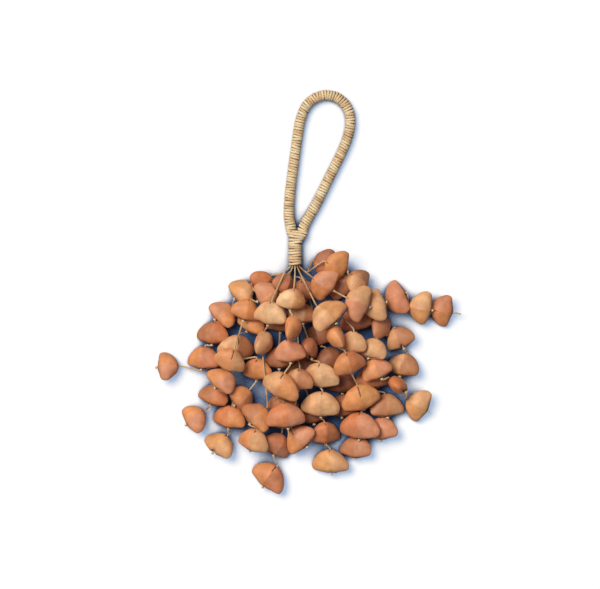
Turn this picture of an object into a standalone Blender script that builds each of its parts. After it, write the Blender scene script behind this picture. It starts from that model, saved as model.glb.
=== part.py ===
"""Kenari chimes: a hand rattle of nut shells strung on a twine-bound loop handle.

The rattle lies on a table with its handle along +Y. Fifteen strings leave the
bound neck and fan out, and each carries a few hollow nut shells. The shells
are dropped onto the table and onto each other, strand after strand, so the
heap takes its height from the shells in it.

Units are metres, +Z is up, and the origin is on the table under the middle
of the whole rattle.
"""

import math
from collections import namedtuple

import bmesh
import bpy
import numpy as np
from mathutils import Matrix, Vector

MM = 0.001

# Running gap between pieces that touch
CLEARANCE = 0.3 * MM

# Points made one: a tube's caps with its side, and crumbs along a cut
CAP_WELD = 0.01 * MM
CUT_WELD = 0.002 * MM

# Edges that turn more than this stay sharp, and a smooth route is worked out in steps
SHARP_ANGLE = math.radians(50)
ROUTE_STEPS = 20

# Nut shells: a shell of size 1, across its lobes, apex to base, and front to back
SHELL_WIDTH = 31.5 * MM
SHELL_HEIGHT = 21.0 * MM
SHELL_THICKNESS = 15.0 * MM
SHELL_WALL = 1.3 * MM
# A small shell is less narrow than short: this share of its size goes to height and thickness
GIRTH_SHARE = 0.6
# Rings of the skin from the flat apex to the base slot, in shares of the shell's sizes:
# height over its middle, reach across, reach front to back, and sag of the lobes
SKIN_RINGS = (
    (0.50, 0.20, 0.36, 0.00),
    (0.27, 0.72, 0.92, 0.06),
    (-0.09, 1.00, 1.00, 0.07),
    (-0.49, 0.44, 0.32, -0.06),
)
SKIN_SEGMENTS = 8
# Above 1 the two faces of a shell rise to a ridge along its middle
SKIN_RIDGE = 1.35
# How far a shell may lean and roll out of its listed pose as it settles, in degrees
SETTLE_TURNS = (-18, -9, 0, 9, 18)

# Strings: their places in the neck are rows above each other and columns side by side
STRING_DIAMETER = 1.3 * MM
STRING_PITCH = STRING_DIAMETER + 1.2 * CLEARANCE
# Below the neck each column leaves at a wider angle than the one inside it, and
# each row runs straight a little further than the row above it, at most this share
# of the way to its first shell
FAN_ANGLE = 25.0
FAN_REACH = 9.5 * MM
FAN_STAGGER = 2.2 * MM
FAN_SHARE = 0.75
# A string leaves its shell straight by the stub. Between shells it is laid in steps,
# with a point at every few of them at most; it sags by a share of its run, climbs no
# steeper than the slope and hangs clear of what is below by the play at most
STRING_STUB = 2.0 * MM
STRING_STEP = 1.0 * MM
STRING_NODE = 3
STRING_SAG = 0.1
STRING_SLOPE = 1.2
STRING_PLAY = 3.0 * MM

# Handle: a bundle of fibre bent into a loop, bound with twine
TWINE_THICKNESS = 1.4 * MM
LOOP_DIAMETER = 9.7 * MM
NECK_DIAMETER = 12.2 * MM
NECK_X = -11.7 * MM
NECK_BOTTOM = 21.5 * MM
STRING_SOCKET = 6.0 * MM

LOOP_RADIUS = LOOP_DIAMETER / 2
LOOP_CORE_RADIUS = LOOP_RADIUS - TWINE_THICKNESS - CLEARANCE
NECK_RADIUS = NECK_DIAMETER / 2
NECK_BORE_RADIUS = NECK_RADIUS - TWINE_THICKNESS
NECK_CORE_RADIUS = NECK_BORE_RADIUS - CLEARANCE

# The wrapped legs stop side by side, and their cores run together inside the neck
LEG_MIDDLE_X = -10.0 * MM
LEG_END = 52.0 * MM
LEG_STRAIGHT = 3.0 * MM
LEG_SPREAD = LOOP_DIAMETER + CLEARANCE
WAIST = 47.5 * MM
WAIST_SPREAD = 5.4 * MM
CORE_JOIN = 42.0 * MM
# Half the gap between the cores' middles where they meet and at their ends, and how
# far they lap into the stub below them
CORE_MEET = 1.0 * MM
CORE_TIP = 0.6 * MM
CORE_LAP = 2.0 * MM
# One leg's core lies this much higher in the neck than the other's
CORE_STEP = 0.2 * MM

# The loop's route on the table in mm, from the left leg round to the right leg
LOOP_ROUTE = (
    (-17.1, 63.0),
    (-17.2, 75.0),
    (-15.6, 93.0),
    (-13.0, 113.0),
    (-9.9, 135.0),
    (-6.8, 154.0),
    (-1.6, 167.0),
    (7.2, 174.3),
    (18.0, 176.5),
    (28.8, 173.0),
    (36.4, 164.0),
    (38.8, 152.5),
    (36.2, 138.0),
    (29.0, 121.0),
    (18.0, 99.0),
    (8.2, 78.5),
    (-1.6, 61.5),
)
LOOP_POINTS = 30
SECTION_POINTS = 12

# Fineness of the round sections
STRING_BEVEL = 0
LOOP_BEVEL = 2
NECK_BEVEL = 6

# Colours of the materials
SHELL_COLOUR = (0.62, 0.31, 0.16)
STRING_COLOUR = (0.62, 0.47, 0.33)
TWINE_COLOUR = (0.56, 0.42, 0.26)
FIBRE_COLOUR = (0.45, 0.34, 0.22)

# Grid on which the heap's heights are kept
GRID_CELL = 0.8 * MM
SAMPLES_PER_EDGE = 12

# One shell on a strand: place in mm, heading of its apex in degrees, size, and
# roll about its axis in degrees. A strand lists its shells from the neck outwards.
Shell = namedtuple("Shell", "x y heading size roll", defaults=(0.0,))
# A strand: its column and row in the neck, its loose end in mm, and its shells
Strand = namedtuple("Strand", "column row tail shells")

# Strands in the order in which they come to lie on each other
STRANDS = (
    Strand(0, -1, 0.0, (
        Shell(-7.2, -67.5, 95, 0.95),
        Shell(3.6, -110.7, 100, 0.92),
    )),
    Strand(1, -1, 0.0, (
        Shell(9.9, -40.4, 100, 0.92),
        Shell(19.8, -61.8, 110, 0.95),
        Shell(29.7, -82.8, 95, 0.95),
        Shell(31.5, -104.4, 85, 0.95),
    )),
    Strand(-1, -1, 0.0, (
        Shell(-24.3, -27.9, 85, 0.95),
        Shell(-26.1, -61.2, 90, 0.92),
        Shell(-22.5, -101.7, 85, 0.95),
        Shell(-27.5, -139.5, 68, 0.97, 50),
        Shell(-34.2, -168.3, 55, 1.08),
    )),
    Strand(2, -1, 0.0, (
        Shell(15.3, 24.3, 165, 0.95),
        Shell(29.7, 3.6, 130, 0.92),
        Shell(42.3, -27.0, 95, 0.98),
        Shell(57.6, -79.2, 100, 1.0),
        Shell(71.1, -104.4, 97, 1.02),
        Shell(66.6, -125.1, 88, 0.97),
    )),
    Strand(-2, -1, 0.0, (
        Shell(-40.5, 6.3, 42, 0.92, 30),
        Shell(-59.0, -0.9, 43, 0.87),
        Shell(-76.5, -20.7, 38, 0.9),
        Shell(-85.1, -38.7, 83, 0.97),
        Shell(-94.5, -61.2, 83, 0.97),
        Shell(-126.5, -69.3, 4, 0.86),
    )),
    Strand(-2, 0, 0.0, (
        Shell(-50.4, -28.8, 60, 0.9),
        Shell(-64.8, -51.3, 80, 1.1),
        Shell(-45.9, -71.1, 88, 0.88),
        Shell(-59.4, -97.2, 47, 0.9, 45),
        Shell(-70.2, -114.3, 80, 1.0),
        Shell(-79.2, -139.2, 49, 0.94),
    )),
    Strand(2, 0, 0.0, (
        Shell(25.2, 22.1, 158, 0.98),
        Shell(44.6, 8.1, 145, 0.9, 40),
        Shell(65.7, -32.4, 120, 0.85, 25),
        Shell(82.8, -43.2, 110, 0.89),
        Shell(86.4, -67.5, 72, 0.98),
    )),
    Strand(-1, 0, 0.0, (
        Shell(-36.5, -4.5, 35, 0.93),
        Shell(-55.8, -18.0, 75, 0.87, 30),
        Shell(-69.8, -62.6, 69, 0.96),
        Shell(-76.5, -81.0, 44, 0.94),
        Shell(-83.7, -94.5, 65, 0.9),
        Shell(-101.7, -115.6, 37, 0.9),
    )),
    Strand(1, 0, 0.0, (
        Shell(39.6, -46.8, 80, 0.88),
        Shell(58.3, -52.6, 64, 0.88),
        Shell(61.2, -71.1, 117, 0.92),
        Shell(81.0, -85.5, 140, 0.82, 72),
        Shell(99.0, -103.5, 148, 1.0),
    )),
    Strand(0, 0, 0.0, (
        Shell(-3.6, 0.0, 100, 0.85),
        Shell(-5.4, -20.7, 95, 0.85),
        Shell(1.4, -52.7, 100, 0.86, 55),
        Shell(11.3, -76.5, 92, 1.1),
        Shell(12.2, -102.6, 85, 1.12),
        Shell(15.3, -128.7, 92, 0.88),
        Shell(20.7, -154.8, 93, 1.05),
    )),
    Strand(-1, 1, 0.0, (
        Shell(-21.6, 5.4, 70, 0.85, 30),
        Shell(-8.1, -80.1, 85, 0.85),
        Shell(-7.9, -133.4, 130, 1.0),
    )),
    Strand(-2, 1, 0.0, (
        Shell(-34.2, -20.7, 80, 0.98),
        Shell(-39.6, -47.7, 85, 1.0, 85),
        Shell(-45.0, -113.4, 42, 1.0),
        Shell(-48.8, -135.0, 72, 0.97),
    )),
    Strand(2, 1, 5.7, (
        Shell(13.5, 5.4, 148, 1.0),
        Shell(44.6, -10.8, 158, 1.08),
        Shell(60.3, -14.4, 200, 0.95),
        Shell(79.8, -7.9, 213, 1.04),
        Shell(101.7, -15.8, 165, 1.02),
        Shell(120.6, -18.0, 168, 0.96),
    )),
    Strand(1, 1, 0.0, (
        Shell(16.7, -22.1, 138, 1.15),
        Shell(24.3, -41.4, 110, 1.0, 85),
        Shell(36.5, -65.3, 106, 0.97),
        Shell(47.7, -96.3, 107, 1.14),
        Shell(46.8, -122.4, 86, 1.22),
        Shell(44.1, -141.8, 78, 0.94),
    )),
    Strand(0, 1, 6.0, (
        Shell(-14.4, -8.1, 80, 0.85),
        Shell(-13.1, -33.3, 95, 0.95, 85),
        Shell(-16.7, -54.9, 97, 0.94),
        Shell(-24.3, -85.1, 72, 1.15),
        Shell(-19.8, -112.6, 99, 1.17),
    )),
)


def clear_scene():
    for item in list(bpy.data.objects):
        bpy.data.objects.remove(item)


def make_collection(name):
    collection = bpy.data.collections.new(name)
    bpy.context.scene.collection.children.link(collection)
    return collection


def make_material(name, colour, roughness):
    material = bpy.data.materials.new(name)
    material.use_nodes = True
    surface = material.node_tree.nodes["Principled BSDF"]
    surface.inputs["Base Color"].default_value = (*colour, 1.0)
    surface.inputs["Roughness"].default_value = roughness
    surface.inputs["Metallic"].default_value = 0.0
    return material


def add_object(name, mesh, collection):
    item = bpy.data.objects.new(name, mesh)
    collection.objects.link(item)
    return item


def evaluated_mesh(item):
    """A plain mesh of the object with its modifiers applied; the object is removed."""
    graph = bpy.context.evaluated_depsgraph_get()
    mesh = bpy.data.meshes.new_from_object(item.evaluated_get(graph))
    bpy.data.objects.remove(item)
    return mesh


def finish_mesh(mesh, material):
    mesh.materials.clear()
    mesh.materials.append(material)
    mesh.shade_smooth()
    mesh.set_sharp_from_angle(angle=SHARP_ANGLE)


def weld_mesh(mesh, distance):
    """Makes points this close one, such as where a tube's caps meet its side."""
    model = bmesh.new()
    model.from_mesh(mesh)
    bmesh.ops.remove_doubles(model, verts=model.verts, dist=distance)
    bmesh.ops.dissolve_degenerate(model, edges=model.edges, dist=distance)
    model.to_mesh(mesh)
    model.free()


def smooth_route(points, samples):
    """Points spread evenly along a smooth curve through the given points."""
    first = points[0] * 2 - points[1]
    last = points[-1] * 2 - points[-2]
    guide = [first] + points + [last]
    fine = []
    for index in range(1, len(guide) - 2):
        before, start, end, after = guide[index - 1:index + 3]
        for step in range(ROUTE_STEPS):
            t = step / ROUTE_STEPS
            fine.append(0.5 * (
                2 * start
                + (end - before) * t
                + (2 * before - 5 * start + 4 * end - after) * t ** 2
                + (3 * start - before - 3 * end + after) * t ** 3))
    fine.append(points[-1])
    lengths = [0.0]
    for start, end in zip(fine, fine[1:]):
        lengths.append(lengths[-1] + (end - start).length)
    route = []
    for index in range(samples):
        wanted = lengths[-1] * index / (samples - 1)
        place = int(np.searchsorted(lengths, wanted, side="right")) - 1
        place = min(place, len(fine) - 2)
        share = (wanted - lengths[place]) / (lengths[place + 1] - lengths[place])
        route.append(fine[place].lerp(fine[place + 1], share))
    return route


def tube_mesh(name, route, radius, resolution, capped=True):
    """A round tube along a polyline, as a mesh with its caps welded on."""
    curve = bpy.data.curves.new(name, "CURVE")
    curve.dimensions = "3D"
    curve.bevel_depth = radius
    curve.bevel_resolution = resolution
    curve.use_fill_caps = capped
    spline = curve.splines.new("POLY")
    spline.points.add(len(route) - 1)
    for point, place in zip(spline.points, route):
        point.co = (*place, 1.0)
    mesh = evaluated_mesh(add_object(name, curve, bpy.context.scene.collection))
    weld_mesh(mesh, CAP_WELD)
    return mesh


def boolean_mesh(base, other, operation):
    """The union or difference of two closed meshes."""
    workshop = bpy.context.scene.collection
    base_item = add_object("boolean_base", base, workshop)
    other_item = add_object("boolean_other", other, workshop)
    modifier = base_item.modifiers.new("boolean", "BOOLEAN")
    modifier.operation = operation
    modifier.object = other_item
    modifier.solver = "EXACT"
    modifier.use_self = True
    modifier.material_mode = "TRANSFER"
    mesh = evaluated_mesh(base_item)
    bpy.data.objects.remove(other_item)
    weld_mesh(mesh, CUT_WELD)
    return mesh


def joined_mesh(meshes, places, name):
    """Several meshes, each at its place, in one mesh."""
    model = bmesh.new()
    for mesh, place in zip(meshes, places):
        mesh.transform(place)
        model.from_mesh(mesh)
    joined = bpy.data.meshes.new(name)
    model.to_mesh(joined)
    model.free()
    for material in meshes[0].materials:
        joined.materials.append(material)
    return joined


def shell_sizes(size):
    """Width, height and thickness of a shell of the given size."""
    girth = 1 + (size - 1) * GIRTH_SHARE
    return SHELL_WIDTH * size, SHELL_HEIGHT * girth, SHELL_THICKNESS * girth


def ring_corners(size):
    """Corners of the skin's rings, apex at +Z, lobes along X: an array of rings, corners, places."""
    width, height, thickness = shell_sizes(size)
    around = np.arange(SKIN_SEGMENTS) * 2 * np.pi / SKIN_SEGMENTS
    lobe = np.cos(around)
    face = np.sin(around)
    face = np.sign(face) * np.abs(face) ** SKIN_RIDGE
    rings = [(width / 2 * across * lobe, thickness / 2 * through * face,
              height * (level - sag * lobe ** 2)) for level, across, through, sag in SKIN_RINGS]
    return np.array(rings).transpose(0, 2, 1)


def shell_skin(size):
    """The outer skin: a ball drawn out ring by ring, flat at its apex, open at its base slot."""
    corners = ring_corners(size)
    bands = len(SKIN_RINGS) + 1
    model = bmesh.new()
    bmesh.ops.create_uvsphere(model, u_segments=SKIN_SEGMENTS, v_segments=bands, radius=1.0)
    for vert in list(model.verts):
        ring = round(math.acos(max(-1.0, min(1.0, vert.co.z))) * bands / math.pi)
        if ring == 0:
            bmesh.ops.dissolve_verts(model, verts=[vert])
        elif ring == bands:
            bmesh.ops.delete(model, geom=[vert], context="VERTS")
        else:
            turn = round(math.atan2(vert.co.y, vert.co.x) * SKIN_SEGMENTS / (2 * math.pi))
            vert.co = corners[ring - 1][turn % SKIN_SEGMENTS]
    mesh = bpy.data.meshes.new("shell_skin")
    model.to_mesh(mesh)
    model.free()
    return mesh


def shell_mesh(size, material):
    """One hollow nut shell with its wall."""
    skin = shell_skin(size)
    skin.materials.append(material)
    item = add_object("shell", skin, bpy.context.scene.collection)
    wall = item.modifiers.new("wall", "SOLIDIFY")
    wall.thickness = SHELL_WALL
    wall.offset = -1.0
    return evaluated_mesh(item)


def shell_turn(shell, lean, roll):
    """Rotation of a shell on its back, apex along its heading, leaning and rolled."""
    heading = math.radians(shell.heading)
    apex = Vector((math.cos(heading), math.sin(heading), 0.0))
    up = Vector((0.0, 0.0, 1.0))
    side = up.cross(apex)
    flat = Matrix((side, up, apex)).transposed()
    lean_turn = Matrix.Rotation(math.radians(lean), 3, "X")
    roll_turn = Matrix.Rotation(math.radians(shell.roll + roll), 3, "Z")
    return flat @ lean_turn @ roll_turn


def skin_samples(size):
    """Points spread closely over a shell's outer skin, in its own frame."""
    rings = ring_corners(size)
    rings = np.concatenate([rings[:1].mean(axis=1, keepdims=True) + 0 * rings[:1], rings])
    share = np.linspace(0.0, 1.0, SAMPLES_PER_EDGE)[:, None]
    lines = [upper + (lower - upper) * part
             for upper, lower in zip(rings, rings[1:]) for part in share]
    points = [line + (np.roll(line, -1, axis=0) - line) * part for line in lines for part in share]
    return np.concatenate(points)


class Heap:
    """The height of what lies on the table so far, on a square grid."""

    def __init__(self, reach, top=None):
        count = int(2 * reach / GRID_CELL)
        self.reach = reach
        self.top = np.zeros((count, count)) if top is None else top

    def copy(self):
        return Heap(self.reach, self.top.copy())

    def cells(self, points):
        places = np.floor((points[:, :2] + self.reach) / GRID_CELL).astype(int)
        return places[:, 0], places[:, 1]

    def add(self, points):
        np.maximum.at(self.top, self.cells(points), points[:, 2])

    def rest_height(self, points):
        """How far the points must be raised to lie on the heap, a cell clear all round."""
        column, row = self.cells(points)
        west = column.min() - 1
        south = row.min() - 1
        low = np.full((column.max() - west + 2, row.max() - south + 2), np.inf)
        np.minimum.at(low, (column - west, row - south), points[:, 2])
        for axis in (0, 1):
            low = np.minimum.reduce([np.roll(low, step, axis) for step in (-1, 0, 1)])
        ground = self.top[west:west + low.shape[0], south:south + low.shape[1]]
        seat = np.where(ground > 0, ground + CLEARANCE, 0.0)
        return float(np.max(seat - low))

    def height_around(self, points):
        """The greatest height within a string's reach of each point."""
        reach = STRING_DIAMETER / 2 + GRID_CELL
        heights = [self.top[self.cells(points + (dx * reach, dy * reach, 0.0))]
                   for dx in (-1, 0, 1) for dy in (-1, 0, 1)]
        return np.maximum.reduce(heights)


def line_points(start, end, reach, rise):
    """Points along a line and beside it, raised by the given height."""
    steps = max(2, int((end - start).length / (GRID_CELL / 2)))
    line = np.array([start.lerp(end, step / steps)[:] for step in range(steps + 1)])
    side = np.array([(dx * reach, dy * reach, rise) for dx in (-1, 0, 1) for dy in (-1, 0, 1)])
    return (line[:, None, :] + side[None, :, :]).reshape(-1, 3)


def heap_reach():
    """How far from the origin the heap's grid goes: past the outermost shell on either axis."""
    shells = [shell for strand in STRANDS for shell in strand.shells]
    furthest = max(max(abs(shell.x), abs(shell.y)) for shell in shells) * MM
    largest = max(shell_sizes(shell.size)[0] for shell in shells)
    return furthest + largest


def lay_shell(shell, heap):
    """Drops a shell on the heap, settled where it lies lowest, and returns its place."""
    skin = skin_samples(shell.size)
    best = None
    for lean in SETTLE_TURNS:
        for roll in SETTLE_TURNS:
            turn = shell_turn(shell, lean, roll)
            points = skin @ np.array(turn).T + (shell.x * MM, shell.y * MM, 0.0)
            rise = heap.rest_height(points)
            if best is None or rise < best[0]:
                best = (rise, turn, points)
    rise, turn, points = best
    heap.add(points + (0.0, 0.0, rise))
    return Matrix.Translation((shell.x * MM, shell.y * MM, rise)) @ turn.to_4x4()


def drape(start, end, heap):
    """A string's points from start to end, sagging between them and laid over what is below."""
    run = (end.xy - start.xy).length
    count = STRING_NODE * max(1, math.ceil(run / STRING_STEP / STRING_NODE))
    share = np.linspace(0.0, 1.0, count + 1)
    line = np.array(start)[None, :] * (1 - share)[:, None] + np.array(end)[None, :] * share[:, None]
    ground = heap.height_around(line)
    rest = ground + STRING_DIAMETER / 2 + np.where(ground > 0, CLEARANCE, 0.0)
    need = np.maximum(rest, line[:, 2] - 4 * STRING_SAG * run * share * (1 - share))
    for index in range(2, count):
        need[index] = max(need[index], need[index - 1] - STRING_SLOPE * run / count)
    for index in range(count - 2, 0, -1):
        need[index] = max(need[index], need[index + 1] - STRING_SLOPE * run / count)
    stops = [(node, need[max(0, node - STRING_NODE):node + STRING_NODE + 1].max())
             for node in range(0, count + 1, STRING_NODE)]
    first, last = stops[0], stops[-1]
    stops[0] = (0, start.z)
    stops[-1] = (count, end.z)
    if first[1] > start.z + STRING_DIAMETER:
        stops.insert(1, first)
    if last[1] > end.z + STRING_DIAMETER:
        stops.insert(-1, last)
    place = 0
    route = [stops[0]]
    while place < len(stops) - 1:
        held = [other for other in range(place + 2, len(stops))
                if chord_holds(stops[place], stops[other], need)]
        place = max(held, default=place + 1)
        route.append(stops[place])
    return [Vector((*line[node][:2], height)) for node, height in route]


def chord_holds(first, last, need):
    """Whether a straight string from one stop to another stays just above the needed heights."""
    if first[0] == last[0]:
        return False
    nodes = np.arange(first[0], last[0] + 1)
    heights = np.interp(nodes, (first[0], last[0]), (first[1], last[1]))
    spare = heights - need[nodes]
    return spare[1:-1].min() >= 0 and spare.max() < STRING_PLAY


def string_route(strand, places, heap):
    """The string's points: its seat in the neck, through every shell, and its loose end."""
    angle = math.radians(strand.column * FAN_ANGLE)
    mouth = Vector((NECK_X + strand.column * STRING_PITCH, NECK_BOTTOM,
                    NECK_RADIUS + strand.row * STRING_PITCH))
    seat = mouth + Vector((0.0, STRING_SOCKET, 0.0))
    ends = []
    for shell, place in zip(strand.shells, places):
        half = shell_sizes(shell.size)[1] / 2 + STRING_STUB
        ends.append((place @ Vector((0.0, 0.0, half)), place @ Vector((0.0, 0.0, -half))))
    first_run = (ends[0][0].xy - mouth.xy).length
    reach = min(FAN_REACH - strand.row * FAN_STAGGER, FAN_SHARE * first_run)
    fan = mouth + Vector((math.sin(angle), -math.cos(angle), 0.0)) * reach
    route = [seat, mouth] + drape(fan, ends[0][0], heap)
    for (_, base), (apex, _) in zip(ends, ends[1:]):
        route += drape(base, apex, heap)
    apex, base = ends[-1]
    if strand.tail:
        tail = base + (base - apex).normalized() * strand.tail * MM
        return route + drape(base, tail, heap)
    return route + [base]


def build_strand(number, strand, heap, look, collection):
    """One string with its shells, laid on the heap and fused into one body."""
    below = heap.copy()
    places = [lay_shell(shell, heap) for shell in reversed(strand.shells)][::-1]
    route = string_route(strand, places, below)
    name = f"strand_{number:02d}"
    string = tube_mesh(name, route, STRING_DIAMETER / 2, STRING_BEVEL)
    string.materials.clear()
    string.materials.append(look["string"])
    shells = [shell_mesh(shell.size, look["shell"]) for shell in strand.shells]
    shells = joined_mesh(shells, places, name)
    for start, end in zip(route[1:], route[2:]):
        heap.add(line_points(start, end, STRING_DIAMETER / 2, STRING_DIAMETER / 2))
    mesh = boolean_mesh(string, shells, "UNION")
    mesh.shade_smooth()
    mesh.set_sharp_from_angle(angle=SHARP_ANGLE)
    return add_object(name, mesh, collection)


def leg_point(side, height, spread, z):
    """A point of a handle leg near the neck; side is -1 on the left and 1 on the right."""
    return Vector((LEG_MIDDLE_X + side * spread / 2, height, z))


def loop_route():
    """The loop's centre line, from the end of the left leg's winding to the right one's."""
    ends = [leg_point(side, LEG_END, LEG_SPREAD, LOOP_RADIUS) for side in (-1, 1)]
    starts = [end + Vector((0.0, LEG_STRAIGHT, 0.0)) for end in ends]
    bend = [Vector((x * MM, y * MM, LOOP_RADIUS)) for x, y in LOOP_ROUTE]
    return ends[:1] + smooth_route(starts[:1] + bend + starts[1:], LOOP_POINTS) + ends[1:]


def build_loop_wrap(look, collection):
    """The twine wound round the loop, as a tube with the twine's thickness."""
    mesh = tube_mesh("loop_wrap", loop_route(), LOOP_RADIUS, LOOP_BEVEL, capped=False)
    finish_mesh(mesh, look["twine"])
    item = add_object("loop_wrap", mesh, collection)
    wall = item.modifiers.new("twine", "SOLIDIFY")
    wall.thickness = TWINE_THICKNESS
    wall.offset = -1.0
    return item


def core_mesh(extra):
    """The fibre bundle, two legs that run together in the neck, thicker all round by extra."""
    radius = LOOP_CORE_RADIUS + extra
    waist_z = (LOOP_RADIUS + NECK_RADIUS) / 2
    legs = []
    for side in (-1, 1):
        rise = side * CORE_STEP / 2
        legs.append([
            Vector((NECK_X + side * CORE_TIP, CORE_JOIN - CORE_LAP, NECK_RADIUS + rise)),
            Vector((NECK_X + side * CORE_MEET, CORE_JOIN, NECK_RADIUS + rise)),
            leg_point(side, WAIST, WAIST_SPREAD, waist_z),
            leg_point(side, LEG_END - CLEARANCE, LEG_SPREAD, LOOP_RADIUS),
        ])
    route = legs[0] + loop_route() + legs[1][::-1]
    half = len(route) // 2
    first = tube_mesh("core", route[:half + 1], radius, LOOP_BEVEL)
    second = tube_mesh("core", route[half - 1:], radius, LOOP_BEVEL)
    stub_end = NECK_BOTTOM + STRING_SOCKET + CLEARANCE
    stub_route = [Vector((NECK_X, CORE_JOIN + CORE_LAP, NECK_RADIUS)),
                  Vector((NECK_X, stub_end, NECK_RADIUS))]
    stub = tube_mesh("core", stub_route, NECK_CORE_RADIUS + extra, NECK_BEVEL)
    return boolean_mesh(boolean_mesh(first, stub, "UNION"), second, "UNION")


def build_core(look, collection):
    """The fibre bundle in the loop, whose two legs run together in the neck."""
    mesh = core_mesh(0.0)
    finish_mesh(mesh, look["fibre"])
    return add_object("handle_core", mesh, collection)


def neck_sections():
    """The neck's outline: height, middle x and z, half width and depth, squareness."""
    top_width = (LEG_SPREAD + LOOP_DIAMETER) / 2
    waist_width = WAIST_SPREAD / 2 + LOOP_RADIUS
    return (
        (LEG_END - CLEARANCE, LEG_MIDDLE_X, LOOP_RADIUS, top_width, LOOP_RADIUS, 4.0),
        (WAIST, LEG_MIDDLE_X, (LOOP_RADIUS + NECK_RADIUS) / 2, waist_width,
         (LOOP_RADIUS + NECK_RADIUS) / 2, 2.6),
        (CORE_JOIN, NECK_X, NECK_RADIUS, NECK_RADIUS, NECK_RADIUS, 2.0),
        (NECK_BOTTOM, NECK_X, NECK_RADIUS, NECK_RADIUS, NECK_RADIUS, 2.0),
    )


def build_neck_binding(look, collection):
    """The twine that draws both legs into one neck, hollow for the core and the strings."""
    model = bmesh.new()
    rings = []
    for height, x, z, half_width, half_depth, squareness in neck_sections():
        circle = bmesh.ops.create_circle(model, segments=SECTION_POINTS, radius=1.0)["verts"]
        for vert in circle:
            across = math.copysign(abs(vert.co.x) ** (2 / squareness), vert.co.x)
            along = math.copysign(abs(vert.co.y) ** (2 / squareness), vert.co.y)
            vert.co = Vector((x + across * half_width, height, z + along * half_depth))
        rings.append(list({edge for vert in circle for edge in vert.link_edges}))
    for upper, lower in zip(rings, rings[1:]):
        bmesh.ops.bridge_loops(model, edges=upper + lower)
    bmesh.ops.holes_fill(model, edges=rings[0])
    bmesh.ops.holes_fill(model, edges=rings[-1])
    bmesh.ops.recalc_face_normals(model, faces=model.faces)
    body = bpy.data.meshes.new("neck_binding")
    model.to_mesh(body)
    model.free()
    bore_route = [Vector((NECK_X, NECK_BOTTOM + STRING_SOCKET + MM, NECK_RADIUS)),
                  Vector((NECK_X, NECK_BOTTOM - MM, NECK_RADIUS))]
    bore = tube_mesh("bore", bore_route, NECK_BORE_RADIUS, NECK_BEVEL)
    mesh = boolean_mesh(body, core_mesh(CLEARANCE), "DIFFERENCE")
    mesh = boolean_mesh(mesh, bore, "DIFFERENCE")
    finish_mesh(mesh, look["twine"])
    return add_object("neck_binding", mesh, collection)


def main():
    clear_scene()
    look = {
        "shell": make_material("nut_shell", SHELL_COLOUR, 0.6),
        "string": make_material("string", STRING_COLOUR, 0.85),
        "twine": make_material("twine", TWINE_COLOUR, 0.9),
        "fibre": make_material("fibre", FIBRE_COLOUR, 0.95),
    }
    collection = make_collection("kenari_chimes")
    build_core(look, collection)
    build_loop_wrap(look, collection)
    build_neck_binding(look, collection)
    heap = Heap(heap_reach())
    for number, strand in enumerate(STRANDS, start=1):
        build_strand(number, strand, heap, look, collection)


main()
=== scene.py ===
"""Kenari chimes: the surfaces of the hand rattle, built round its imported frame.

The nut shells are laid in a heap by the same rule that settles the frame's solids,
so each modelled shell falls on its own solid. Units are metres and +Z is up.
"""

import math
import random
from collections import namedtuple

import bpy
import numpy as np
from mathutils import Matrix, Vector, noise


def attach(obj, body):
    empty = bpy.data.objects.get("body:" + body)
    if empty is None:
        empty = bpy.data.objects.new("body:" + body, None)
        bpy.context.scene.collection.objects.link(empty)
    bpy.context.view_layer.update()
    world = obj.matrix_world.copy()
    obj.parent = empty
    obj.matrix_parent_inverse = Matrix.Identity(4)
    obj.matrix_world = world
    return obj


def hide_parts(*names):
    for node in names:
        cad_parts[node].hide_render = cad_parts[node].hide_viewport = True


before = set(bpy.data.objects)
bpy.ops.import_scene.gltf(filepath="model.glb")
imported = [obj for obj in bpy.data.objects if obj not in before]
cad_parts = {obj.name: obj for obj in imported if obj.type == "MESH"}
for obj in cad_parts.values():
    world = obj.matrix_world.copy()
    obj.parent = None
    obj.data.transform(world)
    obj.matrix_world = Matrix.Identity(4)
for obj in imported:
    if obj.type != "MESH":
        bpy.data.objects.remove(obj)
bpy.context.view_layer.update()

MM = 0.001

# Running gap between pieces that touch
CLEARANCE = 0.3 * MM
ROUTE_STEPS = 20

# Nut shells: a shell of size 1, across its lobes, apex to base, and front to back
SHELL_WIDTH = 31.5 * MM
SHELL_HEIGHT = 21.0 * MM
SHELL_THICKNESS = 15.0 * MM
SHELL_WALL = 1.3 * MM
# A small shell is less narrow than short: this share of its size goes to height and thickness
GIRTH_SHARE = 0.6
# Rings of the skin from the flat apex to the base slot, in shares of the shell's sizes:
# height over its middle, reach across, reach front to back, and sag of the lobes
SKIN_RINGS = (
    (0.50, 0.20, 0.36, 0.00),
    (0.27, 0.72, 0.92, 0.06),
    (-0.09, 1.00, 1.00, 0.07),
    (-0.49, 0.44, 0.32, -0.06),
)
SKIN_SEGMENTS = 8
# Above 1 the two faces of a shell rise to a ridge along its middle
SKIN_RIDGE = 1.35
# How far a shell may lean and roll out of its listed pose as it settles, in degrees
SETTLE_TURNS = (-18, -9, 0, 9, 18)

# Strings: their places in the neck are rows above each other and columns side by side
STRING_DIAMETER = 1.3 * MM
STRING_PITCH = STRING_DIAMETER + 1.2 * CLEARANCE
# Below the neck each column leaves at a wider angle than the one inside it, and
# each row runs straight a little further than the row above it, at most this share
# of the way to its first shell
FAN_ANGLE = 25.0
FAN_REACH = 9.5 * MM
FAN_STAGGER = 2.2 * MM
FAN_SHARE = 0.75
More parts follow.
